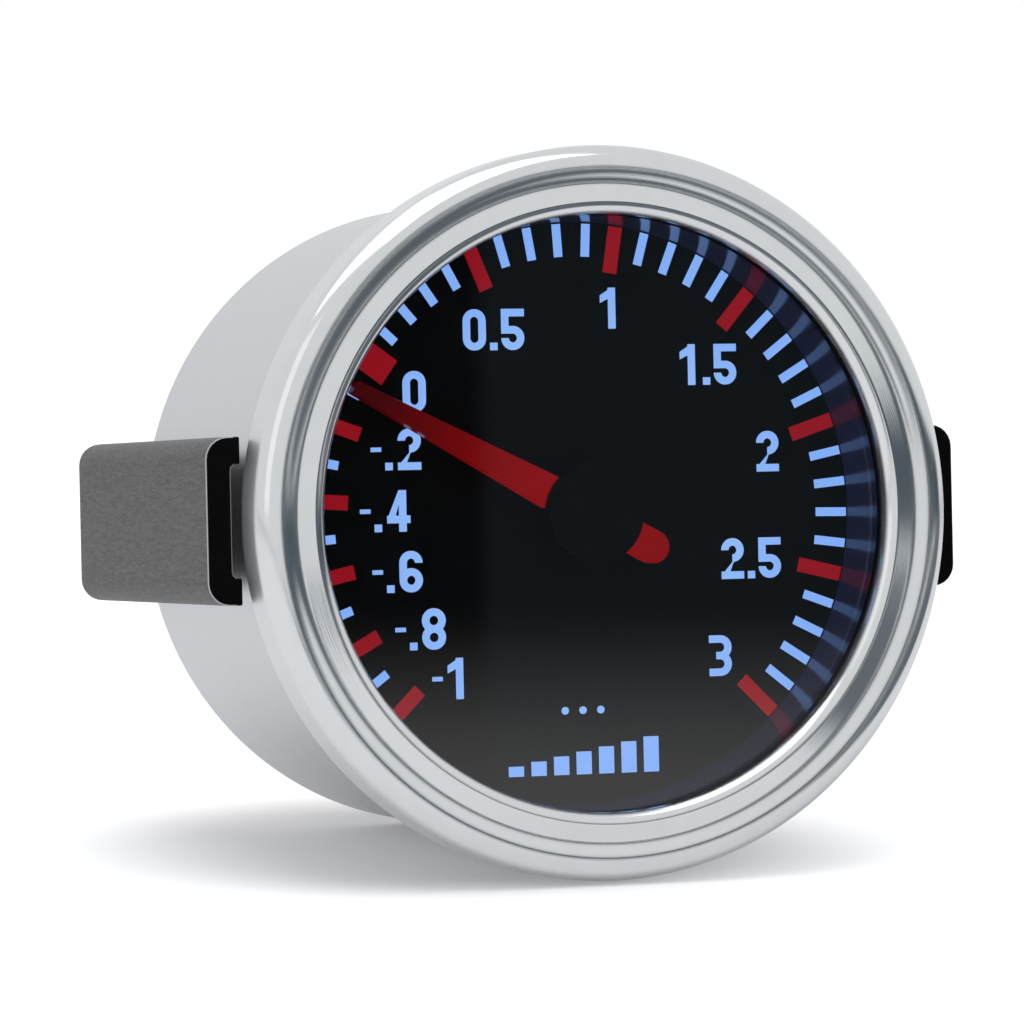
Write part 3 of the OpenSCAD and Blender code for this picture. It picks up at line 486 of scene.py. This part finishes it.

# %% [markdown]
# ## Can, glass, gasket and shroud
# All four are turned as well. The can's rear edge is folded in over the cover, so that corner is
# round. The glass has ground edges. The shroud is a smooth black funnel between glass and dial, tinted
# blue as a painted reflection of the lit marks.

# %% Can
CAN_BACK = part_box("body_can")[1].y / MM
CAN_SHEET = 0.9
CAN_INSIDE = CAN_R - CAN_SHEET
FLANGE_R = 27.2
FLANGE_FRONT = -1.6
FOLD_R = 22.5
can_outline = rounded([[CAN_INSIDE, FLANGE_FRONT, 0.0], [FLANGE_R, FLANGE_FRONT, 0.1],
                       [FLANGE_R, FLANGE_BACK, 0.1], [CAN_R, FLANGE_BACK, 0.0],
                       [CAN_R, CAN_BACK, 0.7], [FOLD_R, CAN_BACK, 0.2],
                       [FOLD_R, CAN_BACK - CAN_SHEET, 0.0],
                       [CAN_INSIDE, CAN_BACK - CAN_SHEET, 0.0]], 6)
can = turned_piece("can_shell", can_outline)
finish_piece(can, can_metal, "case", "satin_aluminium", "body_can", smooth=26)

# %% Glass
lens_low, lens_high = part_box("lens")
GLASS_R = lens_high.x / MM
glass_outline = rounded([[0.0, lens_low.y / MM, 0.0], [GLASS_R, lens_low.y / MM, 0.15],
                         [GLASS_R, lens_high.y / MM, 0.15], [0.0, lens_high.y / MM, 0.0]])
window_glass = turned_piece("window_glass", glass_outline, 128)
finish_piece(window_glass, glass, "case", "clear_glass", "lens")

# %% Gasket
gasket_low, gasket_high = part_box("lens_gasket")
gasket_outline = rounded([[CAN_INSIDE, gasket_low.y / MM, 0.2], [GLASS_R, gasket_low.y / MM, 0.2],
                          [GLASS_R, gasket_high.y / MM, 0.2],
                          [CAN_INSIDE, gasket_high.y / MM, 0.2]], 6)
gasket = turned_piece("glass_gasket", gasket_outline, 128)
finish_piece(gasket, gasket_black, "case", "black_rubber", "lens_gasket")

# %% Shroud
shroud_low, shroud_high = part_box("shroud_ring")
SHROUD_R = shroud_high.x / MM
DIAL_EDGE_R = 23.0
shroud_outline = rounded([[DIAL_EDGE_R, shroud_high.y / MM, 0.05],
                          [WINDOW_R, shroud_low.y / MM, 0.0], [SHROUD_R, shroud_low.y / MM, 0.0],
                          [SHROUD_R, shroud_high.y / MM, 0.1]])
shroud = turned_piece("dial_shroud", shroud_outline)
finish_piece(shroud, shroud_black_painted_glow, "case", "gloss_black_plastic", "shroud_ring")

# %% [markdown]
# ## Pointer and cap
# The pointer is clear red plastic, lit through its hub, so its cut edges glow. Its edges are eased
# a little to catch the light. The cap is a low black disc with a round shoulder. Both are copies of
# their solids, because the cap's slot has to fit the arm: a copy is merged, its flat faces are
# joined, and its sharp edges get a small bevel.

# %% Copies with eased edges
SHARP_ANGLE = 35.0


def ease_edges(piece, width, segments=2):
    """Bevel the edges that are sharper than SHARP_ANGLE, by a width in millimetres."""
    ease = piece.modifiers.new("ease", "BEVEL")
    ease.width = width * MM
    ease.segments = segments
    ease.limit_method = "ANGLE"
    ease.angle_limit = math.radians(SHARP_ANGLE)
    only(piece)
    bpy.ops.object.modifier_apply(modifier=ease.name)


def eased_copy(node, name, bevel, segments=2):
    """A copy of a node's solid with its sharp edges eased by a bevel, in millimetres."""
    piece = bpy.data.objects.new(name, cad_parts[node].data.copy())
    bpy.context.scene.collection.objects.link(piece)
    only(piece)
    bpy.ops.object.mode_set(mode="EDIT")
    bpy.ops.mesh.select_all(action="SELECT")
    bpy.ops.mesh.remove_doubles(threshold=1e-6)
    bpy.ops.mesh.dissolve_limited(angle_limit=math.radians(0.5))
    bpy.ops.object.mode_set(mode="OBJECT")
    bpy.ops.mesh.customdata_custom_splitnormals_clear()
    ease_edges(piece, bevel, segments)
    return piece


# %% Pointer
pointer = eased_copy("pointer", "pointer_blade", 0.12)
finish_piece(pointer, pointer_red, "pointer_arbor", "red_acrylic", "pointer")
cap = eased_copy("pointer_cap", "pointer_boss", 0.25, 4)
finish_piece(cap, cap_black, "pointer_arbor", "matte_black_plastic", "pointer_cap", smooth=50)

# %% [markdown]
# ## Bracket
# The bracket is a shallow channel bent to a U. A block of its outer size comes first. Its two rear
# corners get the bend's radius, then the long outer edges get theirs. Cutters take out the space
# for the can, the channel between the legs' flanges and the two stud holes. A last small bevel on
# every edge catches a thin bright line where the brushed side meets the end, and the finish paints a
# highlight along it as well.

# %% A block, and cutting one piece out of another
def block(name, low, high):
    """A box between two corners, in millimetres."""
    bpy.ops.object.select_all(action="DESELECT")
    bpy.ops.mesh.primitive_cube_add(size=1)
    made = bpy.context.object
    made.name = name
    low, high = Vector(low) * MM, Vector(high) * MM
    for vertex in made.data.vertices:
        vertex.co = [l + (c + 0.5) * (h - l) for l, c, h in zip(low, vertex.co, high)]
    return made


def bevel_edges(piece, wanted, width, segments):
    """Bevel the edges for which wanted(first corner, second corner) is true, in millimetres."""
    only(piece)
    bpy.ops.object.mode_set(mode="EDIT")
    bpy.ops.mesh.select_mode(type="EDGE")
    bpy.ops.mesh.select_all(action="DESELECT")
    bpy.ops.object.mode_set(mode="OBJECT")
    for edge in piece.data.edges:
        first, second = (piece.data.vertices[i].co / MM for i in edge.vertices)
        edge.select = wanted(first, second)
    bpy.ops.object.mode_set(mode="EDIT")
    bpy.ops.mesh.bevel(offset=width * MM, segments=segments, affect="EDGES")
    bpy.ops.object.mode_set(mode="OBJECT")


def cut_out(piece, cutter):
    """Take the cutter's shape out of the piece, and delete the cutter."""
    cut = piece.modifiers.new("cut", "BOOLEAN")
    cut.object = cutter
    cut.operation = "DIFFERENCE"
    cut.solver = "EXACT"
    only(piece)
    bpy.ops.object.modifier_apply(modifier=cut.name)
    bpy.data.objects.remove(cutter)
    print(piece.name, len(piece.data.polygons), "faces after a cut")


# %% Bracket
leg_low, leg_high = (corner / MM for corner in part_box("bracket"))
STUD_X = 11.0
STUD_HOLE_R = 2.3
WEB = 2.0
FLANGE_X = leg_high.x - 2.75
FLANGE_Z = leg_high.z - 2.1
BAR_FRONT = leg_high.y - WEB
BEND_R = 3.0
LONG_EDGE_R = 1.75
WAY_FRONT = -5.0
bracket = block("clamp_bracket_body", leg_low, leg_high)
bevel_edges(bracket, lambda a, b: a.y > 30 and b.y > 30 and abs(a.z - b.z) > 5, BEND_R, 8)
bevel_edges(bracket, lambda a, b: abs(a.z - b.z) < 0.1 and not (a.y < 1 and b.y < 1),
            LONG_EDGE_R, 6)
cut_out(bracket, block("can_space", (-FLANGE_X, WAY_FRONT, -9), (FLANGE_X, BAR_FRONT, 9)))
channel = block("channel", (WEB - leg_high.x, WAY_FRONT, -FLANGE_Z),
                (leg_high.x - WEB, BAR_FRONT, FLANGE_Z))
bevel_edges(channel, lambda a, b: abs(a.y - b.y) > 5, 0.5, 3)
cut_out(bracket, channel)
hole_outline = [[0, 30], [STUD_HOLE_R, 30], [STUD_HOLE_R, 50], [0, 50]]
for x in (-STUD_X, STUD_X):
    cut_out(bracket, turned_piece("stud_hole", hole_outline, 48, (x, 0)))
ease_edges(bracket, 0.12)
print("bracket outside:", [round(v, 2) for v in leg_high - leg_low], "mm")
finish_piece(bracket, bracket_black, "clamp_bracket", "black_anodised", "bracket")

# %% [markdown]
# ## Threaded studs
# A thread is a groove that climbs round a rod. A flat grid is wrapped round the stud's axis, and
# each point's distance from the axis goes in and out with its height less its share of a turn, so
# the groove climbs one pitch for each turn. The free end is tapered. Each stud has a hexagon head
# behind the cover, and the four pieces together stand for one node.

# %% Thread
STUD_R = 1.98
CORE_R = 0.9
THREAD_PITCH = 0.7
THREAD_DEPTH = 0.38
GROOVE_SLOPE = 2.6
TAPER_LONG = 0.8
TAPER_SLOPE = 0.8
stud_low, stud_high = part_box("mounting_studs")
THREAD_START = CAN_BACK - 2.9
THREAD_END = stud_high.y / MM
AROUND = 28
ALONG = 260


def thread_radius(depth, turn):
    """Distance from the stud's axis at a depth and a share of a turn."""
    phase = (depth / THREAD_PITCH - turn) % 1.0
    groove = THREAD_DEPTH * max(0.0, 1 - abs(phase - 0.5) * GROOVE_SLOPE)
    taper = max(0.0, depth - (THREAD_END - TAPER_LONG)) * TAPER_SLOPE
    return max(CORE_R, min(STUD_R - groove, STUD_R - taper))


def threaded_stud(name, x):
    bpy.ops.object.select_all(action="DESELECT")
    bpy.ops.mesh.primitive_grid_add(x_subdivisions=AROUND, y_subdivisions=ALONG, size=1)
    stud = bpy.context.object
    stud.name = name
    for vertex in stud.data.vertices:
        turn = vertex.co.x + 0.5
        depth = THREAD_START + (vertex.co.y + 0.5) * (THREAD_END - THREAD_START)
        r = thread_radius(depth, turn)
        vertex.co = ((x + r * math.cos(turn * math.tau)) * MM, depth * MM,
                     r * math.sin(turn * math.tau) * MM)
    bpy.ops.object.mode_set(mode="EDIT")
    bpy.ops.mesh.select_all(action="SELECT")
    bpy.ops.mesh.remove_doubles(threshold=2e-6)
    bpy.ops.mesh.select_all(action="DESELECT")
    bpy.ops.mesh.select_non_manifold()
    bpy.ops.mesh.fill_holes(sides=AROUND + 2)
    bpy.ops.mesh.select_all(action="SELECT")
    bpy.ops.mesh.normals_make_consistent(inside=False)
    bpy.ops.object.mode_set(mode="OBJECT")
    return stud


print("turns of thread:", round((THREAD_END - THREAD_START) / THREAD_PITCH, 1))

# %% Stud heads
HEAD_WIDE = 7.0
HEAD_THICK = 3.0
HEAD_EASE = 0.25


def stud_head(name, x):
    """The hexagon behind the cover, with its points eased."""
    bpy.ops.object.select_all(action="DESELECT")
    bpy.ops.mesh.primitive_cylinder_add(vertices=6, radius=HEAD_WIDE / math.sqrt(3) * MM,
                                        depth=HEAD_THICK * MM, location=(0, 0, 0),
                                        rotation=(math.pi / 2, 0, 0))
    head = bpy.context.object
    head.name = name
    bpy.ops.object.transform_apply(location=True, rotation=True, scale=True)
    for vertex in head.data.vertices:
        vertex.co += Vector((x * MM, stud_low.y + HEAD_THICK / 2 * MM, 0))
    bpy.ops.object.mode_set(mode="EDIT")
    bpy.ops.mesh.select_all(action="SELECT")
    bpy.ops.mesh.bevel(offset=HEAD_EASE * MM, segments=2)
    bpy.ops.object.mode_set(mode="OBJECT")
    return head


stud_parts = []
for side, x in (("left", -STUD_X), ("right", STUD_X)):
    stud_parts.append(threaded_stud("stud_" + side, x))
    stud_parts.append(stud_head("stud_head_" + side, x))
for piece in stud_parts:
    finish_piece(piece, zinc, "case", "zinc_steel", "mounting_studs", smooth=50)

# %% [markdown]
# ## Nuts, washers and cover
# The two nuts are turned brass with a fluted grip. The split washers are cut from spring steel.
# The cover, the sockets and the screws are small moulded and pressed pieces with eased edges.

# %% Nuts and washers
for node, name, bevel, finish, body, slot in (
        ("clamp_nut_left", "grip_nut_left", 0.2, brass, "left_nut", "brass_turned"),
        ("clamp_nut_right", "grip_nut_right", 0.2, brass, "right_nut", "brass_turned"),
        ("flat_washers", "plain_washers", 0.1, zinc, "clamp_bracket", "zinc_steel"),
        ("spring_washers", "split_washers", 0.1, spring_steel, "clamp_bracket", "zinc_steel")):
    finish_piece(eased_copy(node, name, bevel), finish, body, slot, node)

# %% Rear cover and sockets
for node, name, bevel, finish, slot in (
        ("rear_cover", "cover_moulding", 0.2, matte_black, "matte_black_plastic"),
        ("power_socket", "power_socket_body", 0.15, socket_white, "socket_white"),
        ("sensor_socket", "sensor_socket_body", 0.15, socket_white, "socket_white"),
        ("power_pins", "power_pin_row", 0.1, gilt, "gilt_pins"),
        ("sensor_pins", "sensor_pin_row", 0.1, gilt, "gilt_pins")):
    finish_piece(eased_copy(node, name, bevel), finish, "case", slot, node)

# %% [markdown]
# ## Cover screws
# Each screw has a low pan head with a cross recess. The head is a turned piece, the recess is cut
# by two crossed bars with a boolean, and the finished screw is copied to the three places.

# %% Cover screws
SCREW_CIRCLE = 19.0
SCREW_ANGLES = {"cover_screw_top": 90, "cover_screw_195": 195, "cover_screw_345": 345}
SHANK_R = 1.2
HEAD_R = 2.1
HEAD_HIGH = 1.5
RECESS_LONG, RECESS_WIDE, RECESS_DEEP = 1.25, 0.28, 0.9
screw_front, head_back = (corner.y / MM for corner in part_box("cover_screws"))
head_front = head_back - HEAD_HIGH
screw_outline = rounded([[0.0, screw_front, 0.0], [SHANK_R, screw_front, 0.2],
                         [SHANK_R, head_front, 0.0], [HEAD_R, head_front, 0.1],
                         [HEAD_R, head_back, 0.5], [0.0, head_back, 0.0]])
screw = turned_piece("screw_pattern", screw_outline, 40)
for wide, tall in ((RECESS_LONG, RECESS_WIDE), (RECESS_WIDE, RECESS_LONG)):
    cut_out(screw, block("recess_bar", (-wide, head_back - RECESS_DEEP, -tall),
                         (wide, head_back + 1, tall)))

for name, angle in SCREW_ANGLES.items():
    copy = bpy.data.objects.new(name, screw.data.copy())
    bpy.context.scene.collection.objects.link(copy)
    turn = math.radians(angle)
    spot = Vector((math.cos(turn), 0, math.sin(turn))) * SCREW_CIRCLE * MM
    for vertex in copy.data.vertices:
        vertex.co += spot
    finish_piece(copy, zinc, "case", "zinc_steel", "cover_screws")
bpy.data.objects.remove(screw)

# %% [markdown]
# ## The pieces that keep their solids
# The dial, its marks, the boards and the motor already have the right shapes. Only the material in
# their slots changes.

# %% Finishes for the nodes that stay
kept = {
    "dial_face": dial_black, "scale_marks_white": blue_white, "scale_marks_red": lit_red,
    "light_guide": clear_plastic, "light_box": box_white, "dial_lamps": lamp_cream,
    "main_board": board_green, "rear_board": board_green, "board_screws": zinc,
    "motor_case_front": matte_black, "motor_case_rear": matte_black,
    "motor_stator": stator_steel, "motor_coils": copper, "motor_rotor": magnet_grey,
    "idler_gear": gear_cream, "output_gear": gear_cream, "controller_chip": matte_black,
    "link_pins": gilt, "link_blocks": matte_black, "board_spacers": brass,
    "capacitor": sleeve_blue, "regulator": matte_black,
}
for node, finish in kept.items():
    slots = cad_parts[node].material_slots
    if not slots:
        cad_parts[node].data.materials.append(finish.material)
    for slot in slots:
        slot.material = finish.material
print("kept solids:", len(kept))

# %% [markdown]
# ## Studio
# The gauge lies on a white table: it rests on the bezel's rear edge and on the can's rear edge, so
# the table is tilted a little against the gauge's own axes. White light comes from all round, a
# soft box hangs above and a weaker one stands to the left. A bright metal is only as good as what
# it mirrors, so the room has a dark side in front and to the right, and the table's front corner
# there is dark in mirrors too. They give the bezel its dark bands and the glass its black. The
# camera sees the table a little lighter than its paint, and more so away from the gauge, as on a
# table that is lit from below.

# %% Table
TABLE_SLOPE = (BEZEL_R - CAN_R) / CAN_BACK
TABLE_SIDE = 12
TABLE_MIDDLE = 4.7
TOUCH_GAP = 0.00001
table_height = -BEZEL_R * MM - TOUCH_GAP + TABLE_MIDDLE * TABLE_SLOPE
bpy.ops.object.select_all(action="DESELECT")
bpy.ops.mesh.primitive_grid_add(x_subdivisions=12, y_subdivisions=12, size=TABLE_SIDE,
                                location=(0, TABLE_MIDDLE, table_height),
                                rotation=(math.atan(TABLE_SLOPE), 0, 0))
table = bpy.context.object
bpy.ops.object.transform_apply(location=True, rotation=True, scale=True)
table.name = "table"
FRONT_CORNER = srgb(66, 76, 84)
table_white = Finish("table_white", srgb(236, 236, 237), 0.6, Emission_Strength=1.0)
straight = table_white.ray(CAMERA_RAY)
mirrored = table_white.ray(MIRROR_RAY).largest(table_white.ray(GLASS_RAY))
right, rearward = table_white.parts()[:2]
right_part = (right - rearward * 0.25).between(0.052, 0.075)
corner = mirrored * right_part * (1 - rearward.between(-0.04, -0.02))
sideward, lengthward = right + 0.006, rearward - 0.022
away = ((sideward * sideward + lengthward * lengthward) ** 0.5).between(0.018, 0.042)
lift = straight * (away * 0.44 + 0.15) + mirrored * 0.11
glow = table_white.mix(lift, (0, 0, 0), (1, 1, 1))
table_white.set("Base Color", table_white.mix(corner, table_white.colour, (0, 0, 0)))
table_white.set("Emission Color", table_white.mix(corner, glow, FRONT_CORNER))
table.data.materials.append(table_white.material)
print("table slope:", round(math.degrees(math.atan(TABLE_SLOPE)), 2), "degrees")

# %% Room light
class Room(Finish):
    """The world's own node tree, built with the same tools."""

    def __init__(self, name):
        self.world = bpy.data.worlds.new(name)
        self.world.use_nodes = True
        self.tree = self.world.node_tree
        self.shader = self.tree.nodes["Background"]


room = Room("studio_room")
bpy.context.scene.world = room.world
right, rearward, height = room.parts(room.node("TexCoord", output=0))
sideways = room.node("Math", {"operation": "ARCTAN2"}, [right, 0 - rearward])
dark_from = sideways.between(math.radians(12), math.radians(16.5))
dark_to = 1 - sideways.between(math.radians(74), math.radians(92))
above_table = height.between(-0.06, -0.02)
below_top = 1 - height.between(0.07, 0.15)
dark_side = dark_from * dark_to * above_table * below_top
far_corner = sideways.between(math.radians(19.3), math.radians(19.5))
darkness = room.mix(far_corner, srgb(32, 35, 38), srgb(74, 86, 94))
surround = room.mix(dark_side, srgb(232, 233, 234), darkness)
mirrored = room.ray(MIRROR_RAY).largest(room.ray(GLASS_RAY))
soft = room.mix(mirrored, srgb(190, 191, 193), surround)
room.set("Color", room.mix(room.ray(CAMERA_RAY), soft, (1, 1, 1)))
room.set("Strength", 1.0)
print("the room's light has", len(room.tree.nodes), "nodes")

# %% Soft boxes
def soft_box(name, place, size, brightness):
    """A square lamp, aimed at the gauge, whose face is brightness times white."""
    lamp = bpy.data.lights.new(name, "AREA")
    lamp.shape = "RECTANGLE"
    lamp.size, lamp.size_y = size
    lamp.energy = brightness * math.pi * size[0] * size[1]
    box = bpy.data.objects.new(name, lamp)
    bpy.context.scene.collection.objects.link(box)
    box.location = place
    box.rotation_euler = (-Vector(place)).to_track_quat("-Z", "Y").to_euler()


soft_box("top_box", (-0.15, -0.1, 0.6), (0.7, 0.5), 1.85)
soft_box("left_box", (-0.6, -0.35, 0.25), (0.35, 0.5), 0.25)

# %% [markdown] ## The last lines
